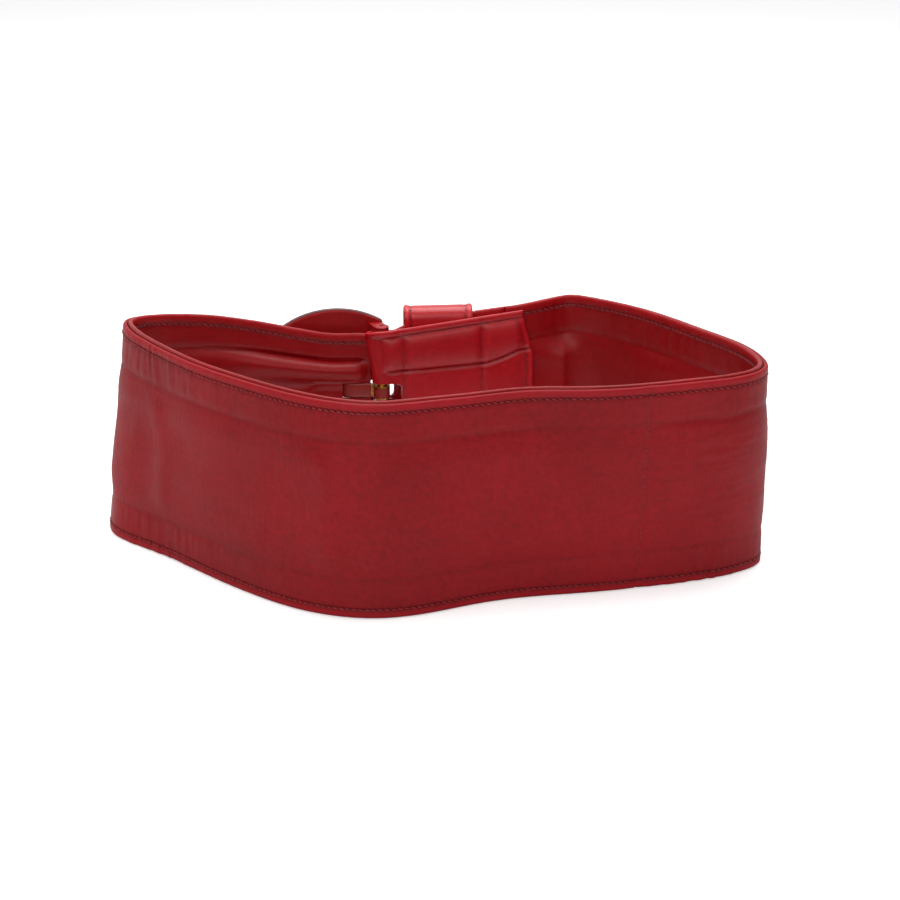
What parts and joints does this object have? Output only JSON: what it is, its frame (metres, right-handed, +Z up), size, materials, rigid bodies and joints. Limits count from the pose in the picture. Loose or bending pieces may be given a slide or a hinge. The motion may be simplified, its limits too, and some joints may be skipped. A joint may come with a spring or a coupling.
{
  "type": "wide waist belt",
  "caption": "Wide lined leather waist belt buckled into a standing loop, with a leather-covered round end-bar buckle, a prong, a sewn keeper and a narrower strap end.",
  "frame": {"origin": "middle of the base of the bounding box, on the surface the belt stands on", "axes": "+Z up, across the band's width; +X along the loop's longest extent; the buckle closure faces +Y and the plain back with the seam faces -Y"},
  "size_m": [0.311, 0.1752, 0.1],
  "materials": {
    "outer_leather": "satin smooth nappa, fine grain",
    "lining_leather": "semi-matt lining leather",
    "strap_leather": "smooth, slightly glossy leather",
    "cover_leather": "smooth leather with painted edges",
    "prong_leather": "thin polished leather",
    "stiffening_tape": "bonded fibre tape",
    "wadding": "soft non-woven wadding",
    "frame_metal": "edge paint on zinc alloy",
    "brass": "brushed brass"
  },
  "bodies": {
    "belt": {"outer_right_panel": "outer_leather", "outer_left_panel": "outer_leather", "lining_right_panel": "lining_leather", "lining_left_panel": "lining_leather", "top_edge_tape": "stiffening_tape", "bottom_edge_tape": "stiffening_tape", "wadding": "wadding", "tongue_outer": "outer_leather", "tongue_stiffener": "stiffening_tape", "tongue_lining": "lining_leather", "chape_strap": "strap_leather", "chape_stiffener": "stiffening_tape", "keeper_outer": "strap_leather", "keeper_liner": "lining_leather"},
    "buckle": {"buckle_frame_core": "frame_metal", "buckle_front_cover": "cover_leather", "buckle_back_cover": "cover_leather", "buckle_bar": "brass"},
    "prong": {"prong_core": "brass", "prong_cover": "prong_leather"}
  },
  "joints": [
    {"name": "buckle_swing", "type": "hinge", "parent": "belt", "child": "buckle", "pos_m": [-0.02695, 0.07049, 0.054], "axis": [0, 0, -1], "range_deg": [0, 45], "deforming": ["tongue_outer", "tongue_stiffener", "tongue_lining"]},
    {"name": "prong_swing", "type": "hinge", "parent": "buckle", "child": "prong", "pos_m": [-0.02695, 0.07049, 0.054], "axis": [0, 0, -1], "range_deg": [0, 55], "deforming": ["tongue_outer", "tongue_stiffener", "tongue_lining"]}
  ]
}
